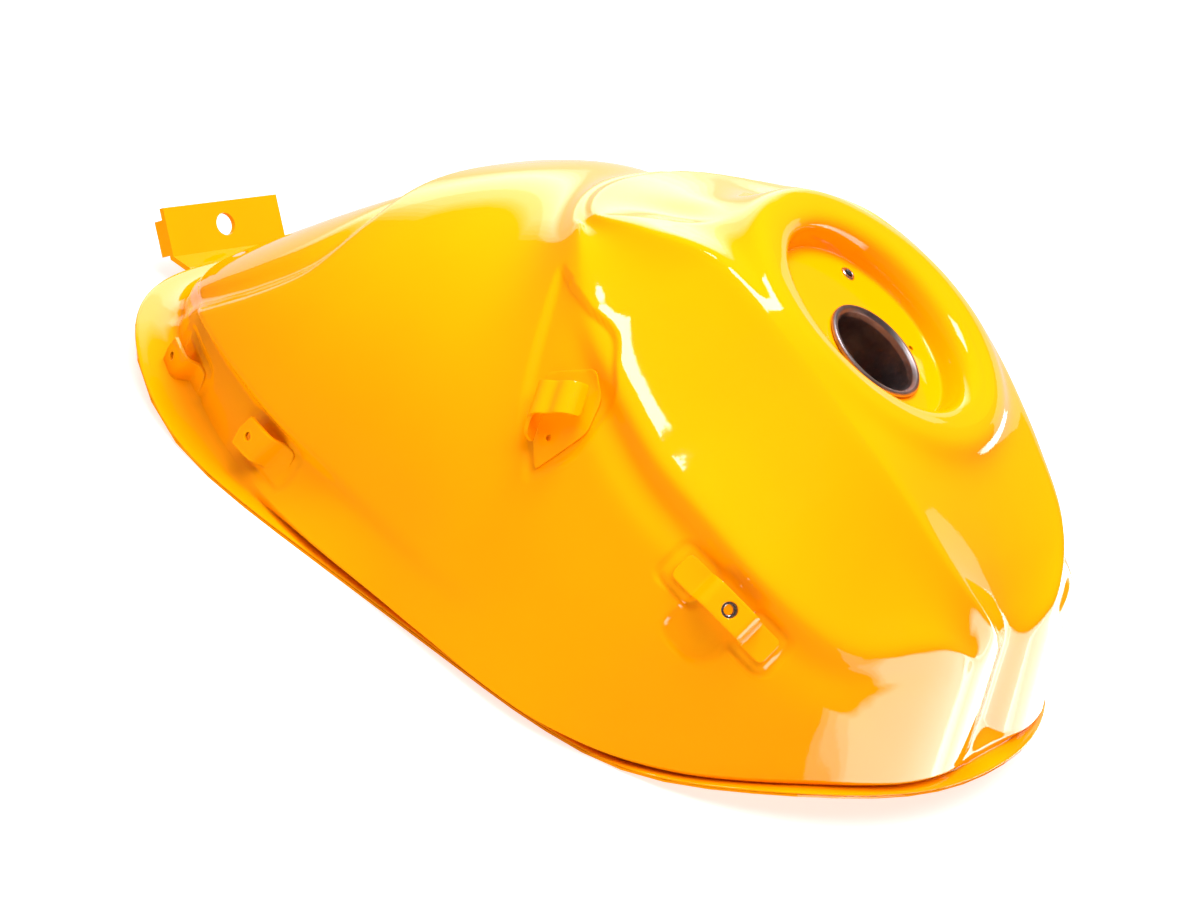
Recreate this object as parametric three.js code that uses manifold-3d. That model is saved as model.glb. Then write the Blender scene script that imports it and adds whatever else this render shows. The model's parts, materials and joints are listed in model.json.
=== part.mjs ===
// Motorcycle fuel tank: bare painted steel tank with its welded brackets, filler neck and inner plates.
// Millimetres, +Z up, front of the tank toward -Y, rider's left toward +X. The tank rests on its seam.
import * as THREE from "three";
import { mergeVertices } from "three/addons/utils/BufferGeometryUtils.js";
import Module from "manifold-3d";

// ---- driving dimensions ----
const SHEET = 1.2; // pressed steel sheet
const GAP = 0.3; // clearance between two pieces that touch on the real tank
const HALF_WIDTH = 197; // seam edge to centre plane, at the widest place
const FRONT_Y = 30; // where the seam outline starts to round toward the front
const FRONT_LENGTH = 194; // from there to the front of the seam
const FRONT_POWER = 2.2; // roundness of the front outline, 2 is an ellipse
const REAR_Y = 165; // where the outline starts to round toward the rear
const REAR_LENGTH = 237;
const REAR_POWER = 2.6;
const SEAM_LIP = 9; // width of the seam flange outside the tank wall
const SEAM_RISE_FRONT = 22; // how far the seam climbs at the front
const SEAM_RISE_REAR = 20; // and at the rear
const OUTLINE_CENTRE_Y = 60; // the outline is swept round this point
const BODY_SCALE = 190; // millimetres per unit of the body's shape ratio
const TAIL_STEP = 10; // how far the tail steps in behind the seat platform

const DISH_Z = 207; // height of the filler dish centre, on x = y = 0
const DISH_TILT = THREE.MathUtils.degToRad(22.9); // nose down
const DISH_RADIUS = 65; // at the top of its rounded rim
const DISH_DEPTH = 18.5; // to the floor the cap sits on
const DISH_FLOOR_RADIUS = 57.5;
const COLLAR_RADIUS = 84.5; // raised collar round the dish
const COLLAR_HEIGHT = 1.5;
const COLLAR_BLEND = 18; // how widely the collar runs into the hood
const SHOULDER_SAG = 6; // hollow of the hood between its ridge and its edge
const NECK_FORWARD = 12.9; // neck centre ahead of the dish centre, in the dish plane
const NECK_RADIUS = 26.6;
const NECK_LIP_RADIUS = 30;
const NECK_LENGTH = 34; // of the tube below the dish floor

const LAND_HEIGHT = 20; // height of the flat pump land on the underside
const TUNNEL_HEIGHT = 52; // airbox recess above that land
const PAN_FLAT = 27; // flat rim of the base pan, inward from the seam edge
const PUMP_Y = 195;
const PUMP_HOLE_RADIUS = 46;

const COLUMNS = 64; // shell facets round the tank
const ROWS = 21; // shell facets from the dish collar down to the seam

// ---- colours ----
const PAINT = { color: 0xffa800, roughness: 0.22, metalness: 0.0 };
const BARE_STEEL = { color: 0x8a7f7c, roughness: 0.38, metalness: 0.9 };
const ZINC = { color: 0xc9ccd2, roughness: 0.3, metalness: 1.0 };
const INNER_STEEL = { color: 0x9a9c9e, roughness: 0.5, metalness: 0.9 };

const wasm = await Module();
wasm.setup();

// ---- small mathematics ----
const clamp01 = (t) => Math.min(Math.max(t, 0), 1);
const ease = (t) => {
  const c = clamp01(t);
  return c * c * c * (c * (6 * c - 15) + 10);
};
const smoothMax = (a, b, k) => {
  const h = Math.max(k - Math.abs(a - b), 0) / k;
  return Math.max(a, b) + (h * h * h * k) / 6;
};
const smoothMin = (a, b, k) => -smoothMax(-a, -b, k);

// A smooth guide curve through [station, value] pairs, held level past its ends.
function guide(pairs) {
  const slope = pairs.map(([x, y], i) => {
    const before = pairs[Math.max(i - 1, 0)];
    const after = pairs[Math.min(i + 1, pairs.length - 1)];
    return (after[1] - before[1]) / (after[0] - before[0]);
  });
  return (x) => {
    if (x <= pairs[0][0]) return pairs[0][1];
    if (x >= pairs[pairs.length - 1][0]) return pairs[pairs.length - 1][1];
    let i = 0;
    while (x > pairs[i + 1][0]) i++;
    const w = pairs[i + 1][0] - pairs[i][0];
    const t = (x - pairs[i][0]) / w;
    const rise = pairs[i + 1][1] - pairs[i][1];
    const a = slope[i] * w - rise;
    const b = rise - slope[i + 1] * w;
    return pairs[i][1] + t * rise + t * (1 - t) * ((1 - t) * a + t * b);
  };
}

// ---- outline of the seam ----
const seamHeight = (y) =>
  SEAM_RISE_FRONT * ease((-20 - y) / 145) + SEAM_RISE_REAR * ease((y - 230) / 170);

// 1 on the outline moved inward by inset, less inside, more outside.
function outlineRatio(x, y, inset) {
  const side = Math.abs(x) / (HALF_WIDTH - inset);
  if (y < FRONT_Y) {
    const ahead = (FRONT_Y - y) / (FRONT_LENGTH - inset);
    return (side ** FRONT_POWER + ahead ** FRONT_POWER) ** (1 / FRONT_POWER);
  }
  if (y > REAR_Y) {
    const behind = (y - REAR_Y) / (REAR_LENGTH - inset);
    return (side ** REAR_POWER + behind ** REAR_POWER) ** (1 / REAR_POWER);
  }
  return side;
}

// Point of the outline in the direction angle (0 is the front), moved inward by inset.
function outlinePoint(angle, inset) {
  const dx = Math.sin(angle);
  const dy = -Math.cos(angle);
  let near = 0;
  let far = 500;
  for (let i = 0; i < 44; i++) {
    const r = (near + far) / 2;
    if (outlineRatio(dx * r, OUTLINE_CENTRE_Y + dy * r, inset) < 1) near = r;
    else far = r;
  }
  return new THREE.Vector2(dx * near, OUTLINE_CENTRE_Y + dy * near);
}

// ---- the tank surface, as a field that is negative inside ----
// Lower body and the ridges of the hood, along the tank: [y, value].
const bodyTop = guide([
  [-164, 34], [-150, 38], [-140, 54], [-130, 72], [-118, 84], [-100, 92], [-80, 99], [-55, 108],
  [-25, 122], [10, 141], [45, 166], [75, 186], [100, 196], [130, 197], [180, 191], [215, 184],
  [245, 173], [262, 164], [290, 143], [315, 122], [340, 101], [370, 80], [402, 63],
]);
const bodyPower = guide([[-164, 6], [-60, 5], [20, 3.4], [80, 2.3], [400, 3.2]]);
const bandTop = guide([[-60, 30], [0, 34], [120, 36], [200, 42], [260, 50], [320, 54], [402, 50]]);
const bandDepth = guide([[-90, 0], [-10, 4], [120, 5], [200, 8], [270, 13], [330, 12], [402, 6]]);
const ridgeHalf = guide([
  [-154, 4], [-146, 26], [-133, 50], [-114, 66], [-85, 76], [-52, 85], [-6, 93], [53, 90],
  [100, 98], [220, 106],
]);
const ridgeTop = guide([
  [-154, 88], [-146, 102], [-133, 121], [-114, 139], [-85, 160], [-52, 180], [-6, 202], [53, 221],
  [100, 216], [150, 202], [220, 190],
]);
const centreTop = guide([
  [-154, 74], [-143, 86], [-132, 102], [-114, 127], [-85, 157], [-60, 179], [0, 202], [60, 214],
  [100, 215], [150, 205], [220, 192],
]);

// Where the rim of the seat platform starts behind the tank's back, [z, y].
const tailEdge = guide([
  [15, 338], [43, 319], [67, 291], [85, 270], [109, 247], [125, 240], [149, 240], [170, 252],
]);

// Hood outside its ridges, round the dish: [angle from the front in degrees, value].
const ridgeRadius = guide([
  [-10, 148], [0, 145], [10, 148], [20.6, 142], [30, 132], [42, 114], [58, 100], [86.4, 93.5],
  [120, 104], [135, 139], [145, 160], [180, 160],
]);
const ridgeLevel = guide([
  [-10, 102], [0, 94], [10, 102], [20.6, 121], [30, 139], [42, 160], [58, 180], [86.4, 202],
  [120, 221], [135, 216], [145, 206], [180, 204],
]);
const edgeRadius = guide([
  [-8, 146], [0, 140], [8, 146], [15, 150], [22, 152], [29, 154], [35, 156], [40, 158], [46, 160],
  [52, 162.5], [59, 165], [67, 167], [81, 167], [92, 165], [105, 163], [122, 166], [180, 164],
]);
const edgeLevel = guide([
  [-8, 82], [0, 74], [8, 82], [15, 91], [22, 99], [29, 104], [35, 102], [40, 98], [46, 95],
  [52, 98], [59, 106], [67, 117], [81, 135], [92, 145], [105, 160], [122, 181], [135, 198],
  [145, 203], [180, 201],
]);
const wallFlare = guide([[0, 0.15], [25, 0.2], [45, 0.2], [70, 0.18], [92, 0.3], [180, 0.4]]);
const wallTuck = guide([[25, 0], [45, 1.5], [60, 4.5], [85, 6], [105, 5], [125, 0]]);

// Lower body: knee bulge with the recessed band above the seam and the stepped-in tail.
function bodyField(a, y, z) {
  const seam = seamHeight(y);
  const n = bodyPower(y);
  const plan = outlineRatio(a, y, SEAM_LIP);
  const height = Math.max(z - seam, 0) / (bodyTop(y) - seam);
  const shape = ((plan ** n + height ** n) ** (1 / n) - 1) * BODY_SCALE;
  const band = bandDepth(y) * (1 - ease((z - bandTop(y) + 9) / 18));
  const behind = y - tailEdge(z);
  const tail = TAIL_STEP * ease(behind / 13) + 2.5 * Math.exp(-(((behind - 15) / 8) ** 2));
  return shape + smoothMax(band, tail, 4);
}

// Raised hood round the filler: two ridges that run together at the beak, shoulders falling from them
// to the hood's edge, and the wall below that edge.
function hoodField(a, y, z) {
  const u = a / Math.max(ridgeHalf(y), 6);
  const inner = centreTop(y) + ((ridgeTop(y) - centreTop(y)) * u * u) / (0.35 + 0.65 * u);
  const angle = THREE.MathUtils.radToDeg(Math.atan2(a, -y));
  const radius = Math.hypot(a, y);
  const inside = ridgeRadius(angle);
  const outside = edgeRadius(angle);
  const share = (radius - inside) / Math.max(outside - inside, 9);
  const sag = SHOULDER_SAG * 4 * clamp01(share) * (1 - clamp01(share));
  const outer = ridgeLevel(angle) + (edgeLevel(angle) - ridgeLevel(angle)) * share - sag;
  const top = (z - smoothMin(inner, outer, 9)) / 1.22;
  const below = edgeLevel(angle) - z;
  const tuck = wallTuck(angle) * Math.exp(-(((below - 15) / 9) ** 2));
  const wall = radius - outside - wallFlare(angle) * below + tuck;
  return smoothMax(top, wall, 8);
}

function collarField(a, y, z) {
  const h = -y * Math.sin(DISH_TILT) + (z - DISH_Z) * Math.cos(DISH_TILT);
  const r = Math.hypot(a, y + h * Math.sin(DISH_TILT), z - DISH_Z - h * Math.cos(DISH_TILT));
  return smoothMax(h - COLLAR_HEIGHT, (r - COLLAR_RADIUS - 0.5 * (COLLAR_HEIGHT - h)) / 1.1, 12);
}

function tankField(p) {
  const a = Math.abs(p.x);
  const blend = 9 + 31 * ease((p.y - 20) / 80);
  const lower = smoothMin(bodyField(a, p.y, p.z), hoodField(a, p.y, p.z), blend);
  return smoothMin(lower, collarField(a, p.y, p.z), COLLAR_BLEND);
}

// Where a ray that starts inside the tank leaves it.
function leaveTank(start, direction) {
  let near = 0;
  let far = 420;
  const p = new THREE.Vector3();
  for (let i = 0; i < 40; i++) {
    const r = (near + far) / 2;
    p.copy(start).addScaledVector(direction, r);
    if (tankField(p) < 0) near = r;
    else far = r;
  }
  return start.clone().addScaledVector(direction, near);
}

function fieldNormal(p) {
  const e = 0.5;
  const axes = ["x", "y", "z"];
  const g = axes.map((k) => {
    const q = p.clone();
    q[k] += e;
    const ahead = tankField(q);
    q[k] -= 2 * e;
    return ahead - tankField(q);
  });
  return new THREE.Vector3(...g).normalize();
}

// ---- dish frame ----
const DISH_UP = new THREE.Vector3(0, -Math.sin(DISH_TILT), Math.cos(DISH_TILT));
const DISH_FORWARD = new THREE.Vector3(0, -Math.cos(DISH_TILT), -Math.sin(DISH_TILT));
const DISH_CENTRE = new THREE.Vector3(0, 0, DISH_Z);

// Point in the dish frame: to the rider's left, forward in the dish plane, up along its axis.
const dishPoint = (left, forward, up) =>
  DISH_CENTRE.clone()
    .add(new THREE.Vector3(left, 0, 0))
    .addScaledVector(DISH_FORWARD, forward)
    .addScaledVector(DISH_UP, up);

function placeInDish(object, left, forward, up) {
  object.position.copy(dishPoint(left, forward, up));
  object.rotation.x = DISH_TILT;
  return object;
}

// ---- solids ----
function geometryFrom(positions, triangles) {
  const g = new THREE.BufferGeometry();
  g.setAttribute("position", new THREE.Float32BufferAttribute(positions, 3));
  g.setIndex(triangles);
  return g;
}

function manifoldOf(geometry) {
  const plain = geometry.index ? geometry.toNonIndexed() : geometry.clone();
  plain.deleteAttribute("normal");
  plain.deleteAttribute("uv");
  const merged = mergeVertices(plain, 1e-4);
  return new wasm.Manifold(
    new wasm.Mesh({
      numProp: 3,
      vertProperties: merged.attributes.position.array,
      triVerts: new Uint32Array(merged.index.array),
    }),
  );
}

function geometryOf(manifold) {
  const mesh = manifold.getMesh();
  return geometryFrom(Array.from(mesh.vertProperties), Array.from(mesh.triVerts));
}

const unite = (...parts) =>
  geometryOf(parts.map(manifoldOf).reduce((sum, next) => sum.add(next)));
const cut = (from, ...tools) =>
  geometryOf(tools.map(manifoldOf).reduce((rest, tool) => rest.subtract(tool), manifoldOf(from)));

// Adds the triangles of a quad grid that is closed round its columns, split along the shorter diagonal.
function gridTriangles(points, columns, rows, offset, flip) {
  const triangles = [];
  const at = (c, r) => (c % columns) + r * columns;
  for (let r = 0; r < rows - 1; r++) {
    for (let c = 0; c < columns; c++) {
      const [p, q, s, t] = [at(c, r), at(c + 1, r), at(c + 1, r + 1), at(c, r + 1)];
      const first = points[p].distanceTo(points[s]);
      const second = points[q].distanceTo(points[t]);
      const onLeft = points[p].x + points[q].x > 0;
      const useFirst = Math.abs(first - second) < 1e-3 ? onLeft : first < second;
      const pair = useFirst ? [[p, s, q], [p, t, s]] : [[p, t, q], [q, t, s]];
      for (const tri of pair) {
        if (flip) tri.reverse();
        triangles.push(...tri.map((i) => i + offset));
      }
    }
  }
  return triangles;
}

function vertexNormals(points, triangles) {
  const g = geometryFrom(points.flatMap((p) => p.toArray()), triangles);
  g.computeVertexNormals();
  return points.map((_, i) => new THREE.Vector3().fromBufferAttribute(g.attributes.normal, i));
}

// Sheet metal from the grid of its outer face: the inner face lies one thickness behind it.
function sheetSolid(points, columns, rows, thickness) {
  const face = gridTriangles(points, columns, rows, 0, false);
  const normals = vertexNormals(points, face);
  const inner = points.map((p, i) => p.clone().addScaledVector(normals[i], -thickness));
  const count = points.length;
  const triangles = [...face, ...gridTriangles(inner, columns, rows, count, true)];
  const last = (rows - 1) * columns;
  for (let c = 0; c < columns; c++) {
    const d = (c + 1) % columns;
    triangles.push(c, d, d + count, c, d + count, c + count);
    triangles.push(c + last, c + last + count, d + last + count);
    triangles.push(c + last, d + last + count, d + last);
  }
  return geometryFrom([...points, ...inner].flatMap((p) => p.toArray()), triangles);
}

const columnAngle = (c) => -Math.PI + (2 * Math.PI * (c + 0.5)) / COLUMNS;

// ---- outer shell ----
// Section of the dish wall and its rounded rim, [radius, height above the dish plane], from the floor up.
const DISH_WALL = [
  [DISH_FLOOR_RADIUS, -DISH_DEPTH - SHEET - GAP],
  [DISH_FLOOR_RADIUS + 0.3, -DISH_DEPTH + 2],
  [59.5, -8],
  [61.5, -3.5],
  [DISH_RADIUS, -0.2],
  [69.5, COLLAR_HEIGHT - 0.35],
];

function shellPoints(standOff) {
  const points = [];
  for (const [radius, up] of DISH_WALL)
    for (let c = 0; c < COLUMNS; c++) {
      const angle = columnAngle(c);
      points.push(dishPoint(Math.sin(angle) * radius, Math.cos(angle) * radius, up));
    }
  const walls = [];
  for (let r = 0; r < ROWS; r++) {
    const v = r / (ROWS - 1);
    for (let c = 0; c < COLUMNS; c++) {
      const angle = columnAngle(c);
      const rim = dishPoint(Math.sin(angle) * 76, Math.cos(angle) * 76, -50);
      const foot = outlinePoint(angle, SEAM_LIP);
      const base = new THREE.Vector3(
        foot.x * 0.62,
        OUTLINE_CENTRE_Y + (foot.y - OUTLINE_CENTRE_Y) * 0.62,
        seamHeight(foot.y) + 12,
      );
      const outward = new THREE.Vector3(foot.x, foot.y - OUTLINE_CENTRE_Y, 0).normalize();
      const s = v ** 0.85;
      const start = rim.lerp(base, s);
      const turn = s * s * (3 - 2 * s);
      const direction = DISH_UP.clone().lerp(outward, turn).normalize();
      const p = leaveTank(start, direction);
      points.push(p);
      if (r === ROWS - 1) walls.push(p);
    }
  }
  const flangeTop = 2 * SHEET + GAP;
  for (const [share, inset, up] of [[0.6, SEAM_LIP, 5.4], [1, SEAM_LIP - 1, flangeTop], [1, 0, flangeTop]])
    for (let c = 0; c < COLUMNS; c++) {
      const edge = outlinePoint(columnAngle(c), inset);
      const wall = walls[c];
      points.push(
        new THREE.Vector3(
          THREE.MathUtils.lerp(wall.x, edge.x, share),
          THREE.MathUtils.lerp(wall.y, edge.y, share),
          seamHeight(edge.y) + up,
        ),
      );
    }
  if (standOff === 0) return points;
  const rows = points.length / COLUMNS;
  const normals = vertexNormals(points, gridTriangles(points, COLUMNS, rows, 0, false));
  return points.map((p, i) => p.clone().addScaledVector(normals[i], standOff));
}

const shellFace = shellPoints(0);
const SHELL_ROWS = shellFace.length / COLUMNS;
const shellGeometry = () => sheetSolid(shellFace, COLUMNS, SHELL_ROWS, SHEET);

// The whole space the tank takes up, a little larger than the shell: brackets are trimmed against it.
function tankEnvelope(standOff) {
  const skin = shellPoints(standOff);
  const count = skin.length;
  const last = count - COLUMNS;
  const top = dishPoint(0, 0, DISH_WALL[0][1]);
  const bottom = new THREE.Vector3(0, OUTLINE_CENTRE_Y, -1);
  const triangles = gridTriangles(skin, COLUMNS, SHELL_ROWS, 0, false);
  for (let c = 0; c < COLUMNS; c++) {
    const d = (c + 1) % COLUMNS;
    triangles.push(c, d, count, last + c, count + 1, last + d);
  }
  return geometryFrom([...skin, top, bottom].flatMap((p) => p.toArray()), triangles);
}
const envelope = tankEnvelope(GAP);

// ---- base pan ----
// Height of the pan's underside above the seam: flat rim, airbox recess in front, pump land behind.
function panRise(x, y, inset) {
  const climb = ease((inset - PAN_FLAT) / 24);
  const across = 1 - ease((Math.abs(x) - 60) / 30);
  const along = ease((y + 128) / 42) * (1 - ease((y - 82) / 40));
  return climb * (LAND_HEIGHT - seamHeight(y) * 0.9 + TUNNEL_HEIGHT * across * along);
}

function panPoints() {
  const insets = [0, 13, PAN_FLAT, 32, 37, 42, 47, 51];
  const shares = [0.12, 0.24, 0.36, 0.48, 0.6, 0.72, 0.86, 1];
  const points = [];
  const place = (x, y, inset) => points.push(new THREE.Vector3(x, y, seamHeight(y) + panRise(x, y, inset)));
  for (const inset of insets)
    for (let c = 0; c < COLUMNS; c++) {
      const p = outlinePoint(columnAngle(c), inset);
      place(p.x, p.y, inset);
    }
  for (const share of shares)
    for (let c = 0; c < COLUMNS; c++) {
      const angle = columnAngle(c);
      const p = outlinePoint(angle, insets[insets.length - 1]);
      const hole = new THREE.Vector2(Math.sin(angle), -Math.cos(angle))
        .multiplyScalar(PUMP_HOLE_RADIUS)
        .add(new THREE.Vector2(0, PUMP_Y));
      p.lerp(hole, share);
      place(p.x, p.y, 100);
    }
  return points;
}

// ---- helpers for the small parts ----
function box(width, depth, height, x = 0, y = 0, z = 0) {
  return new THREE.BoxGeometry(width, depth, height).translate(x, y, z);
}

// Solid of revolution round +Z from a closed [radius, height] section.
function turned(section, segments) {
  const profile = [...section, section[0]].map(([r, z]) => new THREE.Vector2(r, z));
  return new THREE.LatheGeometry(profile, segments).rotateX(Math.PI / 2);
}

// Solid of revolution round +Z from an open section that starts and ends on the axis, from the bottom up.
function spindle(section, segments) {
  const profile = section.map(([r, z]) => new THREE.Vector2(r, z));
  return new THREE.LatheGeometry(profile, segments).rotateX(Math.PI / 2);
}

function rod(radius, length, segments = 24) {
  return new THREE.CylinderGeometry(radius, radius, length, segments).rotateX(Math.PI / 2);
}

function circlePoints(radius, segments) {
  return Array.from({ length: segments }, (_, i) => {
    const angle = (2 * Math.PI * (i + 0.5)) / segments;
    return [Math.cos(angle) * radius, Math.sin(angle) * radius];
  });
}

// Extrusion along +Z of a polygon with round holes given as [x, y, radius].
function plate(outline, thickness, holes = [], segments = 12) {
  const shape = new THREE.Shape(outline.map(([x, y]) => new THREE.Vector2(x, y)));
  for (const [x, y, radius] of holes) {
    const rim = circlePoints(radius, radius > 5 ? segments * 2 : segments);
    shape.holes.push(new THREE.Path(rim.map(([dx, dy]) => new THREE.Vector2(x + dx, y + dy))));
  }
  return new THREE.ExtrudeGeometry(shape, { depth: thickness, bevelEnabled: false });
}

// Bent strip: the section is drawn in the Y-Z plane and extruded across X, centred.
function strip(section, width) {
  return plate(section, width).translate(0, 0, -width / 2).rotateY(Math.PI / 2).rotateX(Math.PI / 2);
}

// Offsets an open [y, z] line by the thickness to its left, giving a closed bent-sheet section.
function bentSheet(line, thickness) {
  const pts = line.map(([y, z]) => new THREE.Vector2(y, z));
  const back = pts.map((p, i) => {
    const from = Math.min(i, pts.length - 2);
    const d1 = pts[from + 1].clone().sub(pts[from]).normalize();
    const d0 = i === 0 ? d1 : p.clone().sub(pts[i - 1]).normalize();
    const n1 = new THREE.Vector2(-d1.y, d1.x);
    const n0 = new THREE.Vector2(-d0.y, d0.x);
    const mid = n0.clone().add(n1).normalize();
    return p.clone().addScaledVector(mid, thickness / mid.dot(n1));
  });
  return [...pts, ...back.reverse()].map((p) => [p.x, p.y]);
}

function mesh(name, geometry, look) {
  const m = new THREE.Mesh(geometry, new THREE.MeshStandardMaterial(look));
  m.name = name;
  geometry.computeVertexNormals();
  return m;
}

// Matrix of a seat on the shell: +Z out of the tank, +Y along the given heading.
function seatMatrix(point, heading) {
  const out = fieldNormal(point);
  const along = heading.clone().addScaledVector(out, -heading.dot(out)).normalize();
  const across = along.clone().cross(out);
  return new THREE.Matrix4().makeBasis(across, along, out).setPosition(point);
}

// A bracket in its place on the shell, trimmed to stand just clear of it.
function trimmed(bracket) {
  const rest = manifoldOf(bracket).subtract(manifoldOf(envelope));
  const pieces = rest.decompose().sort((a, b) => b.volume() - a.volume());
  return geometryOf(pieces[0]);
}

const mirrorImage = (geometry) => geometryOf(manifoldOf(geometry).mirror([1, 0, 0]));

const mirrored = (x) => new THREE.Vector3(-x.x, x.y, x.z);

// Side name and a function that puts a right-hand vector on that side.
const SIDES = [
  ["right", (v) => v.clone()],
  ["left", mirrored],
];

// ---- the assembly ----
const tank = new THREE.Group();
tank.name = "fuel_tank";
tank.add(mesh("outer_shell", shellGeometry(), PAINT));

// Base pan, with holes for the drain and vent tubes.
const DRAIN_TOP = [37.9, 15.8]; // left, forward in the dish frame
const TUBE_RADIUS = 4;
const DRAIN_FOOT = new THREE.Vector3(114, 46, 0);
const VENT_FOOT = new THREE.Vector3(114, 66, 0);
const panFace = panPoints();
const PAN_ROWS = panFace.length / COLUMNS;
const panSheet = () => sheetSolid(panFace, COLUMNS, PAN_ROWS, SHEET);
const tubeHole = (foot) => rod(TUBE_RADIUS + GAP, 30).translate(foot.x, foot.y, LAND_HEIGHT);
tank.add(mesh("base_pan", cut(panSheet(), tubeHole(DRAIN_FOOT), tubeHole(VENT_FOOT)), PAINT));

// Pump mounting ring under the pan, with its six welded studs.
const RING_THICKNESS = 3;
const RING_OUTER = 62;
const STUD_COUNT = 6;
const STUD_CIRCLE = 55;
const landUnderside = seamHeight(PUMP_Y) + panRise(0, PUMP_Y, 100);
const ringTop = landUnderside - GAP;
const ring = mesh(
  "pump_mount_ring",
  turned(
    [
      [PUMP_HOLE_RADIUS + 1, 0],
      [RING_OUTER, 0],
      [RING_OUTER, RING_THICKNESS],
      [PUMP_HOLE_RADIUS + 1, RING_THICKNESS],
    ],
    48,
  ),
  INNER_STEEL,
);
ring.position.set(0, PUMP_Y, ringTop - RING_THICKNESS);
tank.add(ring);

// M6 stud: flat weld head, plain shank, chamfered end; it hangs from z = 0.
const studSection = [
  [0, -13.4], [2.2, -13.4], [3, -12.4], [3, -1.4], [4.6, -1], [4.6, 0], [0, 0],
];
for (let i = 0; i < STUD_COUNT; i++) {
  const angle = (2 * Math.PI * (i + 0.5)) / STUD_COUNT;
  const stud = mesh(`pump_stud_${i + 1}`, spindle(studSection, 16), ZINC);
  stud.position.set(
    Math.sin(angle) * STUD_CIRCLE,
    PUMP_Y + Math.cos(angle) * STUD_CIRCLE,
    ringTop - RING_THICKNESS - GAP,
  );
  tank.add(stud);
}

// ---- filler ----
// Dish floor with the neck hole, the two cap thread holes and the drain hole. Local y is rearward.
const CAP_THREAD = [30.2, -36.1]; // left, forward
const CAP_THREADS = [["rear", 1], ["front", -1]];
const INSERT_RADIUS = 4.2;
const floorHoles = [
  [0, -NECK_FORWARD, NECK_RADIUS + GAP],
  [DRAIN_TOP[0], -DRAIN_TOP[1], 1.6],
  ...CAP_THREADS.map(([, sign]) => [CAP_THREAD[0] * sign, -CAP_THREAD[1] * sign, INSERT_RADIUS + GAP]),
];
const dishFloor = mesh(
  "filler_dish_floor",
  plate(circlePoints(DISH_FLOOR_RADIUS - GAP, COLUMNS), SHEET, floorHoles, 14),
  PAINT,
);
placeInDish(dishFloor, 0, 0, -DISH_DEPTH - SHEET);
tank.add(dishFloor);

// Bare steel neck: straight tube with a rolled lip that stands on the floor.
const neckSection = [
  [NECK_RADIUS - 1.4, -NECK_LENGTH],
  [NECK_RADIUS, -NECK_LENGTH],
  [NECK_RADIUS, GAP],
  [NECK_LIP_RADIUS - 0.9, GAP],
  [NECK_LIP_RADIUS, 1.2],
  [NECK_LIP_RADIUS, 2.3],
  [NECK_LIP_RADIUS - 0.6, 3.2],
  [NECK_LIP_RADIUS - 2.6, 3.2],
  [NECK_RADIUS - 0.6, 1.4],
  [NECK_RADIUS - 1.4, -1.5],
];
const neck = mesh("filler_neck", turned(neckSection, 48), BARE_STEEL);
placeInDish(neck, 0, NECK_FORWARD, -DISH_DEPTH);
tank.add(neck);

// Threaded inserts for the filler cap screws, blind from above.
const insertSection = [
  [0, -9], [INSERT_RADIUS, -9], [INSERT_RADIUS, 0.4], [INSERT_RADIUS - 0.5, 0.8], [2.5, 0.8], [2.5, -7],
  [0, -7],
];
for (const [place, sign] of CAP_THREADS) {
  const insert = mesh(`cap_thread_insert_${place}`, spindle(insertSection, 20), ZINC);
  placeInDish(insert, CAP_THREAD[0] * sign, CAP_THREAD[1] * sign, -DISH_DEPTH);
  tank.add(insert);
}

// ---- drain and vent tubes, from under the dish down through the pan ----
function tubeAlong(points, outer, inner) {
  const path = new THREE.CatmullRomCurve3(points);
  const ringShape = new THREE.Shape().absarc(0, 0, outer, 0, Math.PI * 2, false);
  ringShape.holes.push(new THREE.Path().absarc(0, 0, inner, 0, Math.PI * 2, true));
  return new THREE.ExtrudeGeometry(ringShape, { steps: 22, extrudePath: path, curveSegments: 6 });
}
const TUBE_BORE = 3;
const TUBE_END = 6; // how far the tubes stop above the resting plane
const tubeRun = (top, foot) => [
  top,
  new THREE.Vector3(top.x + (foot.x - top.x) * 0.1, top.y, top.z - 25),
  new THREE.Vector3(top.x + (foot.x - top.x) * 0.75, (top.y + foot.y) / 2, 105),
  new THREE.Vector3(foot.x, foot.y, 60),
  new THREE.Vector3(foot.x, foot.y, 32),
  new THREE.Vector3(foot.x, foot.y, TUBE_END),
];
const drainTop = dishPoint(DRAIN_TOP[0], DRAIN_TOP[1], -DISH_DEPTH - SHEET - 2);
const ventTop = new THREE.Vector3(58, 62, 176);
const TUBE_RUNS = [["dish_drain_tube", drainTop, DRAIN_FOOT], ["vent_tube", ventTop, VENT_FOOT]];
for (const [name, top, foot] of TUBE_RUNS)
  tank.add(mesh(name, tubeAlong(tubeRun(top, foot), TUBE_RADIUS, TUBE_BORE), INNER_STEEL));

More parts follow.
